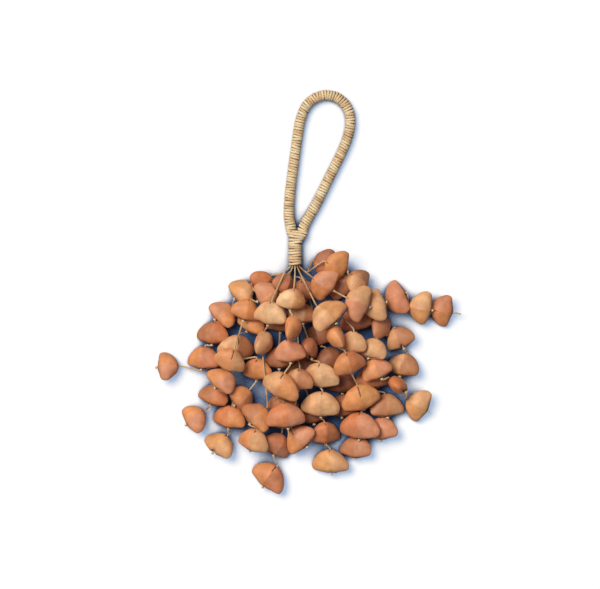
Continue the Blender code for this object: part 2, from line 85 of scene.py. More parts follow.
# A string leaves its shell straight by the stub. Between shells it is laid in steps,
# with a point at every few of them at most; it sags by a share of its run, climbs no
# steeper than the slope and hangs clear of what is below by the play at most
STRING_STUB = 2.0 * MM
STRING_STEP = 1.0 * MM
STRING_NODE = 3
STRING_SAG = 0.1
STRING_SLOPE = 1.2
STRING_PLAY = 3.0 * MM

# Handle: a bundle of fibre bent into a loop, bound with twine
TWINE_THICKNESS = 1.4 * MM
LOOP_DIAMETER = 9.7 * MM
NECK_DIAMETER = 12.2 * MM
NECK_X = -11.7 * MM
NECK_BOTTOM = 21.5 * MM
STRING_SOCKET = 6.0 * MM

LOOP_RADIUS = LOOP_DIAMETER / 2
NECK_RADIUS = NECK_DIAMETER / 2

# The wrapped legs stop side by side, and their cores run together inside the neck
LEG_MIDDLE_X = -10.0 * MM
LEG_END = 52.0 * MM
LEG_STRAIGHT = 3.0 * MM
LEG_SPREAD = LOOP_DIAMETER + CLEARANCE
WAIST = 47.5 * MM
WAIST_SPREAD = 5.4 * MM
CORE_JOIN = 42.0 * MM

# The loop's route on the table in mm, from the left leg round to the right leg
LOOP_ROUTE = (
    (-17.1, 63.0), (-17.2, 75.0), (-15.6, 93.0), (-13.0, 113.0), (-9.9, 135.0), (-6.8, 154.0),
    (-1.6, 167.0), (7.2, 174.3), (18.0, 176.5), (28.8, 173.0), (36.4, 164.0), (38.8, 152.5),
    (36.2, 138.0), (29.0, 121.0), (18.0, 99.0), (8.2, 78.5), (-1.6, 61.5),
)
LOOP_POINTS = 30

# Grid on which the heap's heights are kept
GRID_CELL = 0.8 * MM
SAMPLES_PER_EDGE = 12

# One shell on a strand: place in mm, heading of its apex in degrees, size, and
# roll about its axis in degrees. A strand lists its shells from the neck outwards.
Shell = namedtuple("Shell", "x y heading size roll", defaults=(0.0,))
# A strand: its column and row in the neck, its loose end in mm, and its shells
Strand = namedtuple("Strand", "column row tail shells")

# Strands in the order in which they come to lie on each other
STRANDS = [Strand(*seat, [Shell(*shell) for shell in shells]) for *seat, shells in (
    (0, -1, 0.0, ((-7.2, -67.5, 95, 0.95), (3.6, -110.7, 100, 0.92))),
    (1, -1, 0.0, ((9.9, -40.4, 100, 0.92), (19.8, -61.8, 110, 0.95), (29.7, -82.8, 95, 0.95),
     (31.5, -104.4, 85, 0.95))),
    (-1, -1, 0.0, ((-24.3, -27.9, 85, 0.95), (-26.1, -61.2, 90, 0.92), (-22.5, -101.7, 85, 0.95),
     (-27.5, -139.5, 68, 0.97, 50), (-34.2, -168.3, 55, 1.08))),
    (2, -1, 0.0, ((15.3, 24.3, 165, 0.95), (29.7, 3.6, 130, 0.92), (42.3, -27.0, 95, 0.98),
     (57.6, -79.2, 100, 1.0), (71.1, -104.4, 97, 1.02), (66.6, -125.1, 88, 0.97))),
    (-2, -1, 0.0, ((-40.5, 6.3, 42, 0.92, 30), (-59.0, -0.9, 43, 0.87), (-76.5, -20.7, 38, 0.9),
     (-85.1, -38.7, 83, 0.97), (-94.5, -61.2, 83, 0.97), (-126.5, -69.3, 4, 0.86))),
    (-2, 0, 0.0, ((-50.4, -28.8, 60, 0.9), (-64.8, -51.3, 80, 1.1), (-45.9, -71.1, 88, 0.88),
     (-59.4, -97.2, 47, 0.9, 45), (-70.2, -114.3, 80, 1.0), (-79.2, -139.2, 49, 0.94))),
    (2, 0, 0.0, ((25.2, 22.1, 158, 0.98), (44.6, 8.1, 145, 0.9, 40), (65.7, -32.4, 120, 0.85, 25),
     (82.8, -43.2, 110, 0.89), (86.4, -67.5, 72, 0.98))),
    (-1, 0, 0.0, ((-36.5, -4.5, 35, 0.93), (-55.8, -18.0, 75, 0.87, 30), (-69.8, -62.6, 69, 0.96),
     (-76.5, -81.0, 44, 0.94), (-83.7, -94.5, 65, 0.9), (-101.7, -115.6, 37, 0.9))),
    (1, 0, 0.0, ((39.6, -46.8, 80, 0.88), (58.3, -52.6, 64, 0.88), (61.2, -71.1, 117, 0.92),
     (81.0, -85.5, 140, 0.82, 72), (99.0, -103.5, 148, 1.0))),
    (0, 0, 0.0, ((-3.6, 0.0, 100, 0.85), (-5.4, -20.7, 95, 0.85), (1.4, -52.7, 100, 0.86, 55),
     (11.3, -76.5, 92, 1.1), (12.2, -102.6, 85, 1.12), (15.3, -128.7, 92, 0.88), (20.7, -154.8, 93, 1.05))),
    (-1, 1, 0.0, ((-21.6, 5.4, 70, 0.85, 30), (-8.1, -80.1, 85, 0.85), (-7.9, -133.4, 130, 1.0))),
    (-2, 1, 0.0, ((-34.2, -20.7, 80, 0.98), (-39.6, -47.7, 85, 1.0, 85), (-45.0, -113.4, 42, 1.0),
     (-48.8, -135.0, 72, 0.97))),
    (2, 1, 5.7, ((13.5, 5.4, 148, 1.0), (44.6, -10.8, 158, 1.08), (60.3, -14.4, 200, 0.95),
     (79.8, -7.9, 213, 1.04), (101.7, -15.8, 165, 1.02), (120.6, -18.0, 168, 0.96))),
    (1, 1, 0.0, ((16.7, -22.1, 138, 1.15), (24.3, -41.4, 110, 1.0, 85), (36.5, -65.3, 106, 0.97),
     (47.7, -96.3, 107, 1.14), (46.8, -122.4, 86, 1.22), (44.1, -141.8, 78, 0.94))),
    (0, 1, 6.0, ((-14.4, -8.1, 80, 0.85), (-13.1, -33.3, 95, 0.95, 85), (-16.7, -54.9, 97, 0.94),
     (-24.3, -85.1, 72, 1.15), (-19.8, -112.6, 99, 1.17))),
)]

# Tones of the nut shells, straw and string, as sRGB
TONES = {
    "pale": (0.94, 0.76, 0.56), "tan": (0.89, 0.67, 0.47), "amber": (0.91, 0.64, 0.39),
    "orange": (0.89, 0.58, 0.35), "rust": (0.84, 0.50, 0.30), "pink": (0.86, 0.58, 0.43),
    "terracotta": (0.81, 0.51, 0.36), "brown": (0.74, 0.48, 0.32), "umber": (0.60, 0.37, 0.25),
    "dark": (0.45, 0.26, 0.17), "inside": (0.30, 0.17, 0.11), "straw": (0.97, 0.84, 0.65),
    "straw_light": (1.00, 0.91, 0.74), "straw_dark": (0.86, 0.69, 0.49), "string": (0.93, 0.77, 0.55),
    "string_light": (0.99, 0.90, 0.73), "string_dark": (0.72, 0.53, 0.35),
}

# A shell's tones left and right of its seam when its apex points up, how far its slit
# runs down from the apex, and how deep a notch its base has, as shares of its height.
# The tones are partly the shell's own colour and partly painted light and shade: one half
# is often painted lit and the other shaded, and shells lying low under others are painted dark
Look = namedtuple("Look", "left right slit notch", defaults=(0.10, 0.0))
LOOKS = (
    ("dark dark", "umber dark"),
    ("dark umber", "umber umber", "umber dark", "dark umber"),
    ("brown umber", "umber brown", "brown umber", "terracotta pink", "orange terracotta 0.3"),
    ("terracotta umber", "pink brown", "terracotta umber", "rust brown", "brown tan", "terracotta pink"),
    ("rust brown", "amber tan", "pink orange", "brown rust", "orange terracotta", "orange pink"),
    ("amber orange", "tan brown 0.3", "orange orange", "orange pink", "rust orange", "amber tan 0.12 0.10"),
    ("amber orange", "tan brown", "brown pink", "tan brown 0.08 0.14", "tan brown"),
    ("pink tan", "orange orange", "orange tan 0.4", "orange pink", "brown rust", "orange pink"),
    ("tan tan", "tan tan", "orange pink", "rust orange", "amber tan"),
    ("terracotta umber", "tan brown", "terracotta brown 0.3", "tan pale", "tan tan", "rust brown",
     "amber tan 0.1 0.04"),
    ("terracotta umber", "tan brown", "orange pink 0.35"),
    ("tan pale", "tan pink 0.3 0.06", "brown orange", "orange tan"),
    ("orange pink", "pink tan", "tan tan", "terracotta pink 0.25", "amber tan", "orange terracotta 0.4"),
    ("tan amber", "orange tan", "orange rust", "orange amber 0.42", "rust pink", "brown pink"),
    ("pale amber", "orange pink 0.3 0.06", "pink terracotta", "tan orange 0.2", "rust pink"),
)

# The modelled shell's rings, finer than the solid's: share of the way from apex to
# base, height, reach across, reach front to back, and sag of the lobes
FINE_RINGS = (
    (0.00, 0.505, 0.00, 0.00, 0.00),
    (0.04, 0.503, 0.11, 0.19, 0.00),
    (0.12, 0.472, 0.32, 0.48, 0.01),
    (0.38, 0.275, 0.76, 0.92, 0.06),
    (0.68, -0.090, 1.00, 1.00, 0.07),
    (0.88, -0.370, 0.84, 0.68, 0.00),
    (1.00, -0.490, 0.44, 0.34, -0.06),
)
FINE_RING_COUNT = 28
FINE_SEGMENTS = 52
# Rings crowd towards the apex by this power, points towards the seam by this share
RING_CROWDING = 1.25
SEAM_CROWDING = 0.42
# The slit fades out at its foot over a share of the shell's height
SLIT_WIDTH = 0.42 * MM
SLIT_DEPTH = 1.5 * MM
SLIT_FADE = 0.08
SEAM_WIDTH = 0.30 * MM
SEAM_DEPTH = 0.10 * MM
# How much the lobes may differ from shell to shell and from each other, how softly one
# passes into the other, and how much they may droop to one side
LOBE_SWELL = 0.04
LOBE_TILT = 0.12
LOBE_BLEND = 3.0
DROOP = 0.14
# The two halves of a face fall away from the ridge like a roof: slopes and reach
ROOF_SLOPES = (0.10, 0.34)
ROOF_REACH = 4.0 * MM
# Where the base starts on the way from the apex, and how wide its notches are
BASE_START = 0.7
NOTCH_WIDTH = 0.3
TIP_RISE = 0.2 * MM
# Dents: depth and fineness of each wave. The noise and the grain shift with the seed.
DENT_SIZE = 9.0 * MM
DENT_DEPTH = 0.55 * MM
DENT_WAVES = ((1.0, 1.0), (0.3, 3.0))
SEED_STEPS = (1.7, 0.9, 2.3)
GRAIN_SHIFT = 11 * MM
RIM_WEAR = 0.35 * MM
WEAR_PER_MM = 0.9
# How far the two halves of a shell take their two tones, which hold painted light and shade as
# well as colour (0.5 is all the way), over what width they meet, and how far the dents push that line aside
TONE_SPREAD = 0.38
BLEND_WIDTH = 0.9 * MM
TONE_WANDER = 1.5 * MM
# How much lighter a bulge is and darker a dent, painted light and shade; how much darker the
# lobes' ends, base and seam are; how much darker the slit is, painted shade in its opening; and
# how bright the tip is, painted dark with the slit's shade
DENT_SHADE = 0.22
LOBE_SHADE = 0.12
BASE_SHADE = 0.30
SLIT_SHADE = 0.86
SEAM_SHADE = 0.12
TIP_SHADE = 0.5

# Strings: three plies laid together, which spring out a little past the round string
STRING_PLIES = 3
STRING_LAY = 3.4 * MM
STRING_PLY_DEPTH = 0.2
STRING_FULLNESS = 1.22
STRING_FINE_STEP = 0.55 * MM
STRING_SIDES = 10
STRING_SOFTNESS = 2.0 * MM
# A knot holds each shell from below, this far past its base
KNOT_RADIUS = 0.68 * MM
KNOT_STRAND = 0.48 * MM
KNOT_POINTS = 42
KNOT_SIDES = 7
KNOT_DROP = 0.9 * MM
# Tones wander along string and twine in waves: pace, step of the seed, row of the noise, weight
TONE_WAVES = ((1.0, 7.3, 0.5, 1.0), (4.7, 3.1, 9.5, 0.5))
TONE_GAIN = 1.3
STRING_TONE_RUN = 14 * MM
KNOT_TONE_RUN = 5 * MM
TWINE_TONE_RUN = 26 * MM
# How much darker a string is painted between its plies: painted shade in the grooves
PLY_SHADE = 0.35

# Twine: two plies wound flat round the loop and the neck, turn beside turn
TWINE_RADIUS = TWINE_THICKNESS / 2
TWINE_WIDTH = 2.42 * MM
TWINE_PITCH = 2.38 * MM
TWINE_PLIES = 2
TWINE_LAY = 5.5 * MM
TWINE_BAND_LAY = 3.0 * MM
TWINE_PLY_DEPTH = 0.16
TWINE_SIDES = 12
TURN_POINTS = 30
LOOP_FINE_STEP = 0.5 * MM
LOOP_SOFTNESS = 1.5 * MM
ROUND = 2.0
# Turns wander along the handle, swell and lean by shares of their pitch or reach
TURN_WOBBLE = 0.18
TURN_SWELL = 0.02
LOOP_LEAN = 0.45
NECK_LEAN = 1.3
# The noise that wobble, lean and shade follow from turn to turn: seeds, paces and rows
LOOP_SEED = 21
NECK_SEED = 33
WOBBLE_PACE = 0.9
WOBBLE_ROW = 1.1
LEAN_TURNS = 2.6
LEAN_ROW = 7.7
SHADE_STEP = 5.37
SHADE_ROW = 4.4
TWINE_GRAIN_STEP = 13 * MM
# The brightness of a turn and how it varies, and how dark a turn is painted between its plies and at its
# edges: painted shade in the creases
TWINE_BRIGHTNESS = 1.10
TURN_VARIETY = 0.22
TWINE_PLY_SHADE = 0.14
TWINE_EDGE_SHADE = 0.42

# Noise of a material: scale, detail and roughness, what it turns into, and which stretch of it
Pattern = namedtuple("Pattern", "scale detail roughness low high start end", defaults=(0.0, 1.0, 0.3, 0.7))
MOTTLE = Pattern(0.16, 5.0, 0.6, 0.80, 1.14)
STREAKS = Pattern(1.0, 4.0, 0.65, 0.92, 1.07)
BLUSH = Pattern(0.09, 3.0, 0.5, 0.0, 0.38, 0.42, 0.68)
SPECKS = Pattern(1.7, 2.0, 0.7, 0.0, 0.55, 0.66, 0.76)
PORES = Pattern(2.6, 6.0, 0.7)
INNER_WALL = Pattern(1.1, 5.0, 0.7)
SPUN = Pattern(1.6, 4.0, 0.7, 0.66, 1.22)
BUNDLE = Pattern(1.0, 3.0, 0.6)
STREAK_STRETCH = (2.2, 2.2, 0.28)
SPUN_STRETCH = (0.5, 5.0, 1.0)
BUNDLE_STRETCH = (2600, 300, 2600)
# Relief: how deep and how strong
PORE_RELIEF = (0.10 * MM, 0.5)
STREAK_RELIEF = (0.08 * MM, 0.4)
INNER_RELIEF = (0.2 * MM, 0.6)
PLY_RELIEF = (0.16 * MM, 0.6)
SPUN_RELIEF = (0.12 * MM, 0.8)
BUNDLE_RELIEF = (0.3 * MM, 0.7)
SHELL_ROUGHNESS = (0.42, 0.60)
SHELL_SHINE = 0.38
INNER_ROUGHNESS = 0.85
PLY_DISTORTION = 1.2
# The ply bands darken the colour between plies and lighten it on their crowns: painted shade and light
PLY_LIGHT_AND_SHADE = (0.84, 1.08)
FIBRE_ROUGHNESS = 0.82
FIBRE_SHEEN = 0.15
FIBRE_SHINE = 0.25
BUNDLE_ROUGHNESS = 0.9

# The photograph's view: the middle and the width of what it shows, seen from straight above
VIEW_MIDDLE = (-7.2 * MM, -4.05 * MM)
VIEW_WIDTH = 540 * MM
VIEW_PLANE = 20 * MM
CAMERA_HEIGHT = 4.0
SENSOR = 36.0

# Light: a soft sun and a faint sky, whose sum on a level white sheet is white
SUN_PLACE = (-0.46, 0.38, 1.0)
SUN_STRENGTH = 2.87
SUN_SPREAD = 34.0
SUN_COLOUR = (1.0, 0.98, 0.93)
SKY_COLOUR = (0.22, 0.235, 0.27)
# The floor: as it is seen where the sky is open over it, and the dark blue painted shade it
# takes where the heap covers it; a bluish glow that only the camera sees lifts it to white in
# the light and paints its shadows blue; how far up the heap covers, and how dull a floor
# throws light back into the heap
FLOOR_SIZE = 12.0
FLOOR_ROUGHNESS = 0.9
FLOOR_SHINE = 0.1
FLOOR_SEEN = (0.79, 0.65, 0.45)
FLOOR_GLOW = (0.24, 0.38, 0.58)
FLOOR_PAINTED_SHADE = (0.045, 0.10, 0.23)
FLOOR_BOUNCE = (0.34, 0.33, 0.34)
COVER_HEIGHT = 60 * MM
SHADE_COVER_SHARES = (0.36, 0.58)


def smooth_route(points, samples):
    """Points spread evenly along a smooth curve through the given points."""
    first = points[0] * 2 - points[1]
    last = points[-1] * 2 - points[-2]
    guide = [first] + points + [last]
    fine = []
    for index in range(1, len(guide) - 2):
        before, start, end, after = guide[index - 1:index + 3]
        for step in range(ROUTE_STEPS):
            t = step / ROUTE_STEPS
            fine.append(0.5 * (
                2 * start
                + (end - before) * t
                + (2 * before - 5 * start + 4 * end - after) * t ** 2
                + (3 * start - before - 3 * end + after) * t ** 3))
    fine.append(points[-1])
    lengths = [0.0]
    for start, end in zip(fine, fine[1:]):
        lengths.append(lengths[-1] + (end - start).length)
    route = []
    for index in range(samples):
        wanted = lengths[-1] * index / (samples - 1)
        place = int(np.searchsorted(lengths, wanted, side="right")) - 1
        place = min(place, len(fine) - 2)
        share = (wanted - lengths[place]) / (lengths[place + 1] - lengths[place])
        route.append(fine[place].lerp(fine[place + 1], share))
    return route


def shell_sizes(size):
    """Width, height and thickness of a shell of the given size."""
    girth = 1 + (size - 1) * GIRTH_SHARE
    return SHELL_WIDTH * size, SHELL_HEIGHT * girth, SHELL_THICKNESS * girth


def ring_corners(size):
    """Corners of the skin's rings, apex at +Z, lobes along X: an array of rings, corners, places."""
    width, height, thickness = shell_sizes(size)
    around = np.arange(SKIN_SEGMENTS) * 2 * np.pi / SKIN_SEGMENTS
    lobe = np.cos(around)
    face = np.sin(around)
    face = np.sign(face) * np.abs(face) ** SKIN_RIDGE
    rings = [(width / 2 * across * lobe, thickness / 2 * through * face,
              height * (level - sag * lobe ** 2)) for level, across, through, sag in SKIN_RINGS]
    return np.array(rings).transpose(0, 2, 1)


def shell_turn(shell, lean, roll):
    """Rotation of a shell on its back, apex along its heading, leaning and rolled."""
    heading = math.radians(shell.heading)
    apex = Vector((math.cos(heading), math.sin(heading), 0.0))
    up = Vector((0.0, 0.0, 1.0))
    side = up.cross(apex)
    flat = Matrix((side, up, apex)).transposed()
    lean_turn = Matrix.Rotation(math.radians(lean), 3, "X")
    roll_turn = Matrix.Rotation(math.radians(shell.roll + roll), 3, "Z")
    return flat @ lean_turn @ roll_turn


def skin_samples(size):
    """Points spread closely over a shell's outer skin, in its own frame."""
    rings = ring_corners(size)
    rings = np.concatenate([rings[:1].mean(axis=1, keepdims=True) + 0 * rings[:1], rings])
    share = np.linspace(0.0, 1.0, SAMPLES_PER_EDGE)[:, None]
    lines = [upper + (lower - upper) * part
             for upper, lower in zip(rings, rings[1:]) for part in share]
    points = [line + (np.roll(line, -1, axis=0) - line) * part for line in lines for part in share]
    return np.concatenate(points)


class Heap:
    """The height of what lies on the table so far, on a square grid."""

    def __init__(self, reach, top=None):
        count = int(2 * reach / GRID_CELL)
        self.reach = reach
        self.top = np.zeros((count, count)) if top is None else top

    def copy(self):
        return Heap(self.reach, self.top.copy())

    def cells(self, points):
        places = np.floor((points[:, :2] + self.reach) / GRID_CELL).astype(int)
        return places[:, 0], places[:, 1]

    def add(self, points):
        np.maximum.at(self.top, self.cells(points), points[:, 2])

    def rest_height(self, points):
        """How far the points must be raised to lie on the heap, a cell clear all round."""
        column, row = self.cells(points)
        west = column.min() - 1
        south = row.min() - 1
        low = np.full((column.max() - west + 2, row.max() - south + 2), np.inf)
        np.minimum.at(low, (column - west, row - south), points[:, 2])
        for axis in (0, 1):
            low = np.minimum.reduce([np.roll(low, step, axis) for step in (-1, 0, 1)])
        ground = self.top[west:west + low.shape[0], south:south + low.shape[1]]
        seat = np.where(ground > 0, ground + CLEARANCE, 0.0)
        return float(np.max(seat - low))

    def height_around(self, points):
        """The greatest height within a string's reach of each point."""
        reach = STRING_DIAMETER / 2 + GRID_CELL
        heights = [self.top[self.cells(points + (dx * reach, dy * reach, 0.0))]
                   for dx in (-1, 0, 1) for dy in (-1, 0, 1)]
        return np.maximum.reduce(heights)


def line_points(start, end, reach, rise):
    """Points along a line and beside it, raised by the given height."""
    steps = max(2, int((end - start).length / (GRID_CELL / 2)))
    line = np.array([start.lerp(end, step / steps)[:] for step in range(steps + 1)])
    side = np.array([(dx * reach, dy * reach, rise) for dx in (-1, 0, 1) for dy in (-1, 0, 1)])
    return (line[:, None, :] + side[None, :, :]).reshape(-1, 3)


def heap_reach():
    """How far from the origin the heap's grid goes: past the outermost shell on either axis."""
    shells = [shell for strand in STRANDS for shell in strand.shells]
    furthest = max(max(abs(shell.x), abs(shell.y)) for shell in shells) * MM
    largest = max(shell_sizes(shell.size)[0] for shell in shells)
    return furthest + largest


def lay_shell(shell, heap):
    """Drops a shell on the heap, settled where it lies lowest, and returns its place."""
    skin = skin_samples(shell.size)
    best = None
    for lean in SETTLE_TURNS:
        for roll in SETTLE_TURNS:
            turn = shell_turn(shell, lean, roll)
            points = skin @ np.array(turn).T + (shell.x * MM, shell.y * MM, 0.0)
            rise = heap.rest_height(points)
            if best is None or rise < best[0]:
                best = (rise, turn, points)
    rise, turn, points = best
    heap.add(points + (0.0, 0.0, rise))
    return Matrix.Translation((shell.x * MM, shell.y * MM, rise)) @ turn.to_4x4()


def drape(start, end, heap):
    """A string's points from start to end, sagging between them and laid over what is below."""
    run = (end.xy - start.xy).length
    count = STRING_NODE * max(1, math.ceil(run / STRING_STEP / STRING_NODE))
    share = np.linspace(0.0, 1.0, count + 1)
    line = np.array(start)[None, :] * (1 - share)[:, None] + np.array(end)[None, :] * share[:, None]
    ground = heap.height_around(line)
    rest = ground + STRING_DIAMETER / 2 + np.where(ground > 0, CLEARANCE, 0.0)
    need = np.maximum(rest, line[:, 2] - 4 * STRING_SAG * run * share * (1 - share))
    for index in range(2, count):
        need[index] = max(need[index], need[index - 1] - STRING_SLOPE * run / count)
    for index in range(count - 2, 0, -1):
        need[index] = max(need[index], need[index + 1] - STRING_SLOPE * run / count)
    stops = [(node, need[max(0, node - STRING_NODE):node + STRING_NODE + 1].max())
             for node in range(0, count + 1, STRING_NODE)]
    first, last = stops[0], stops[-1]
    stops[0] = (0, start.z)
    stops[-1] = (count, end.z)
    if first[1] > start.z + STRING_DIAMETER:
        stops.insert(1, first)
    if last[1] > end.z + STRING_DIAMETER:
        stops.insert(-1, last)
    place = 0
    route = [stops[0]]
    while place < len(stops) - 1:
        held = [other for other in range(place + 2, len(stops))
                if chord_holds(stops[place], stops[other], need)]
        place = max(held, default=place + 1)
        route.append(stops[place])
    return [Vector((*line[node][:2], height)) for node, height in route]


def chord_holds(first, last, need):
    """Whether a straight string from one stop to another stays just above the needed heights."""
    if first[0] == last[0]:
        return False
    nodes = np.arange(first[0], last[0] + 1)
    heights = np.interp(nodes, (first[0], last[0]), (first[1], last[1]))
    spare = heights - need[nodes]
    return spare[1:-1].min() >= 0 and spare.max() < STRING_PLAY


def string_route(strand, places, heap):
    """The string's points: its seat in the neck, through every shell, and its loose end."""
    angle = math.radians(strand.column * FAN_ANGLE)
    mouth = Vector((NECK_X + strand.column * STRING_PITCH, NECK_BOTTOM,
                    NECK_RADIUS + strand.row * STRING_PITCH))
    seat = mouth + Vector((0.0, STRING_SOCKET, 0.0))
    ends = []
    for shell, place in zip(strand.shells, places):
        half = shell_sizes(shell.size)[1] / 2 + STRING_STUB
        ends.append((place @ Vector((0.0, 0.0, half)), place @ Vector((0.0, 0.0, -half))))
    first_run = (ends[0][0].xy - mouth.xy).length
    reach = min(FAN_REACH - strand.row * FAN_STAGGER, FAN_SHARE * first_run)
    fan = mouth + Vector((math.sin(angle), -math.cos(angle), 0.0)) * reach
    route = [seat, mouth] + drape(fan, ends[0][0], heap)
    for (_, base), (apex, _) in zip(ends, ends[1:]):
        route += drape(base, apex, heap)
    apex, base = ends[-1]
    if strand.tail:
        tail = base + (base - apex).normalized() * strand.tail * MM
        return route + drape(base, tail, heap)
    return route + [base]


def leg_point(side, height, spread, z):
    """A point of a handle leg near the neck; side is -1 on the left and 1 on the right."""
    return Vector((LEG_MIDDLE_X + side * spread / 2, height, z))


def loop_route():
    """The loop's centre line, from the end of the left leg's winding to the right one's."""
    ends = [leg_point(side, LEG_END, LEG_SPREAD, LOOP_RADIUS) for side in (-1, 1)]
    starts = [end + Vector((0.0, LEG_STRAIGHT, 0.0)) for end in ends]
    bend = [Vector((x * MM, y * MM, LOOP_RADIUS)) for x, y in LOOP_ROUTE]
    return ends[:1] + smooth_route(starts[:1] + bend + starts[1:], LOOP_POINTS) + ends[1:]


def neck_sections():
    """The neck's outline: height, middle x and z, half width and depth, squareness."""
    top_width = (LEG_SPREAD + LOOP_DIAMETER) / 2
    waist_width = WAIST_SPREAD / 2 + LOOP_RADIUS
    return (
        (LEG_END - CLEARANCE, LEG_MIDDLE_X, LOOP_RADIUS, top_width, LOOP_RADIUS, 4.0),
        (WAIST, LEG_MIDDLE_X, (LOOP_RADIUS + NECK_RADIUS) / 2, waist_width,
         (LOOP_RADIUS + NECK_RADIUS) / 2, 2.6),
        (CORE_JOIN, NECK_X, NECK_RADIUS, NECK_RADIUS, NECK_RADIUS, 2.0),
        (NECK_BOTTOM, NECK_X, NECK_RADIUS, NECK_RADIUS, NECK_RADIUS, 2.0),
    )


def linear(tone):
    """A tone's colour as linear light."""
    colour = np.array(TONES[tone])
    return np.where(colour > 0.04045, ((colour + 0.055) / 1.055) ** 2.4, colour / 12.92)


def opaque(colour):
    return (*colour, 1.0)


def placed(name, data):
    """A new object in the scene."""
    item = bpy.data.objects.new(name, data)
    bpy.context.scene.collection.objects.link(item)
    return item


def make_camera():
    data = bpy.data.cameras.new("camera")
    data.sensor_width = SENSOR
    data.lens = SENSOR * (CAMERA_HEIGHT - VIEW_PLANE) / VIEW_WIDTH
    data.clip_end = 3 * CAMERA_HEIGHT
    camera = placed("camera", data)
    camera.location = (*VIEW_MIDDLE, CAMERA_HEIGHT)
    bpy.context.scene.camera = camera


def cumulative_length(points):
    steps = np.linalg.norm(np.diff(points, axis=0), axis=1)
    return np.concatenate([[0.0], np.cumsum(steps)])


def resampled(points, step):
    """Points spread evenly along a polyline, about a step apart."""
    arc = cumulative_length(points)
    count = max(3, int(round(arc[-1] / step)) + 1)
    wanted = np.linspace(0.0, arc[-1], count)
    return np.stack([np.interp(wanted, arc, points[:, axis]) for axis in range(3)], axis=1)


def softened(points, step, softness):
    """A polyline's points with its corners rounded and its two ends kept."""
    reach = int(3 * softness / step)
    offsets = np.arange(-reach, reach + 1)
    weights = np.exp(-0.5 * (offsets * step / softness) ** 2)
    weights /= weights.sum()
    before = 2 * points[0] - points[1:reach + 1][::-1]
    after = 2 * points[-1] - points[-reach - 1:-1][::-1]
    padded = np.concatenate([before, points, after])
    return np.stack([np.convolve(padded[:, axis], weights, mode="valid") for axis in range(3)], axis=1)


def unit(vectors):
    return vectors / np.linalg.norm(vectors, axis=1)[:, None]


def frames_along(points):
    """Two cross directions at each point of a route, which turn as little as they can."""
    tangents = unit(np.gradient(points, axis=0))
    normals = np.zeros_like(points)
    guide = np.array((0.0, 0.0, 1.0)) if abs(tangents[0][2]) < 0.9 else np.array((1.0, 0.0, 0.0))
    for index, tangent in enumerate(tangents):
        guide = guide - tangent * guide.dot(tangent)
        guide /= np.linalg.norm(guide)
        normals[index] = guide
    return normals, np.cross(tangents, normals)


def set_attributes(mesh, tone, grain):
    """Stores each point's colour and its place in the grain, in mm, for the materials."""
    tone = tone.reshape(-1, 3)
    colours = np.ones((len(tone), 4))
    colours[:, :3] = np.clip(tone, 0.0, 1.0)
    layer = mesh.attributes.new("tone", "FLOAT_COLOR", "POINT")
    layer.data.foreach_set("color", colours.astype(np.float32).ravel())
    layer = mesh.attributes.new("grain", "FLOAT_VECTOR", "POINT")
    layer.data.foreach_set("vector", (grain / MM).astype(np.float32).ravel())


def grid_faces(rows, columns, closed=False):
    """Quads between rows of points that each run all the way round."""
    row, column = np.meshgrid(np.arange(rows if closed else rows - 1), np.arange(columns), indexing="ij")
    below = (row + 1) % rows
    beside = (column + 1) % columns
    faces = np.stack([row * columns + column, row * columns + beside,
                      below * columns + beside, below * columns + column], axis=-1)
    return faces.reshape(-1, 4).tolist()


def tube_faces(rows, sides, closed=False):
    """The faces of a tube, with one more at each of its ends unless it closes on itself."""
    faces = grid_faces(rows, sides, closed)
    if not closed:
        faces.append(list(range(sides))[::-1])
        faces.append(list(range((rows - 1) * sides, rows * sides)))
    return faces


def make_mesh(name, points, faces):
    mesh = bpy.data.meshes.new(name)
    mesh.from_pydata(points.reshape(-1, 3).tolist(), [], faces)
    mesh.update()
    mesh.shade_smooth()
    return mesh


def add_piece(name, mesh, materials, node):
    """A piece of the rattle in place of a solid, lifted if it sags below the table."""
    lowest = min(vertex.co.z for vertex in mesh.vertices)
    if lowest < 0:
        mesh.transform(Matrix.Translation((0.0, 0.0, -lowest)))
    for material in materials:
        mesh.materials.append(material)
    piece = placed(name, mesh)
    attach(piece, "root")
    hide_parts(node)
    return piece


def drifting(values, seed, row):
    """A noise that drifts along the values, in a row of its own for each seed."""
    return np.array([noise.noise(Vector((value, seed, row))) for value in values])


def strand_tones(points, base, light, dark, seed, run):
    """Colours that wander along a string or twine between a light and a dark tone."""
    arc = cumulative_length(points) / run
    value = sum(weight * drifting(arc * pace, seed * step, row) for pace, step, row, weight in TONE_WAVES)
    base = linear(base)
    target = np.where(value[:, None] > 0, linear(light), linear(dark))
    return base + (target - base) * np.minimum(1.0, np.abs(value) * TONE_GAIN)[:, None]


def tube_mesh(name, points, radius, sides, tones, plies=0, lay=1.0, ply_depth=0.0, closed=False):
    """A tube along points, its section lobed by plies that turn once in each lay."""
    arc = cumulative_length(points)[:, None]
    normals, sideways = frames_along(points)
    around = np.arange(sides) * 2 * np.pi / sides
    turn = around - 2 * np.pi * arc / lay
    groove = 0.5 - 0.5 * np.cos(plies * turn)
    reach = radius * (1 - ply_depth * groove)
    rings = (points[:, None, :] + reach[..., None] * (
        normals[:, None, :] * np.cos(around)[:, None]
        + sideways[:, None, :] * np.sin(around)[:, None]))
    faces = [face[::-1] for face in tube_faces(len(points), sides, closed)]
    mesh = make_mesh(name, rings, faces)
    # Painted shade in the grooves between the plies
    shade = 1 - PLY_SHADE * groove
    grain = np.stack([arc + 0 * turn, turn * radius, 0 * turn + points[0, 0]], axis=-1)
    set_attributes(mesh, tones[:, None, :] * shade[..., None], grain)
    return mesh


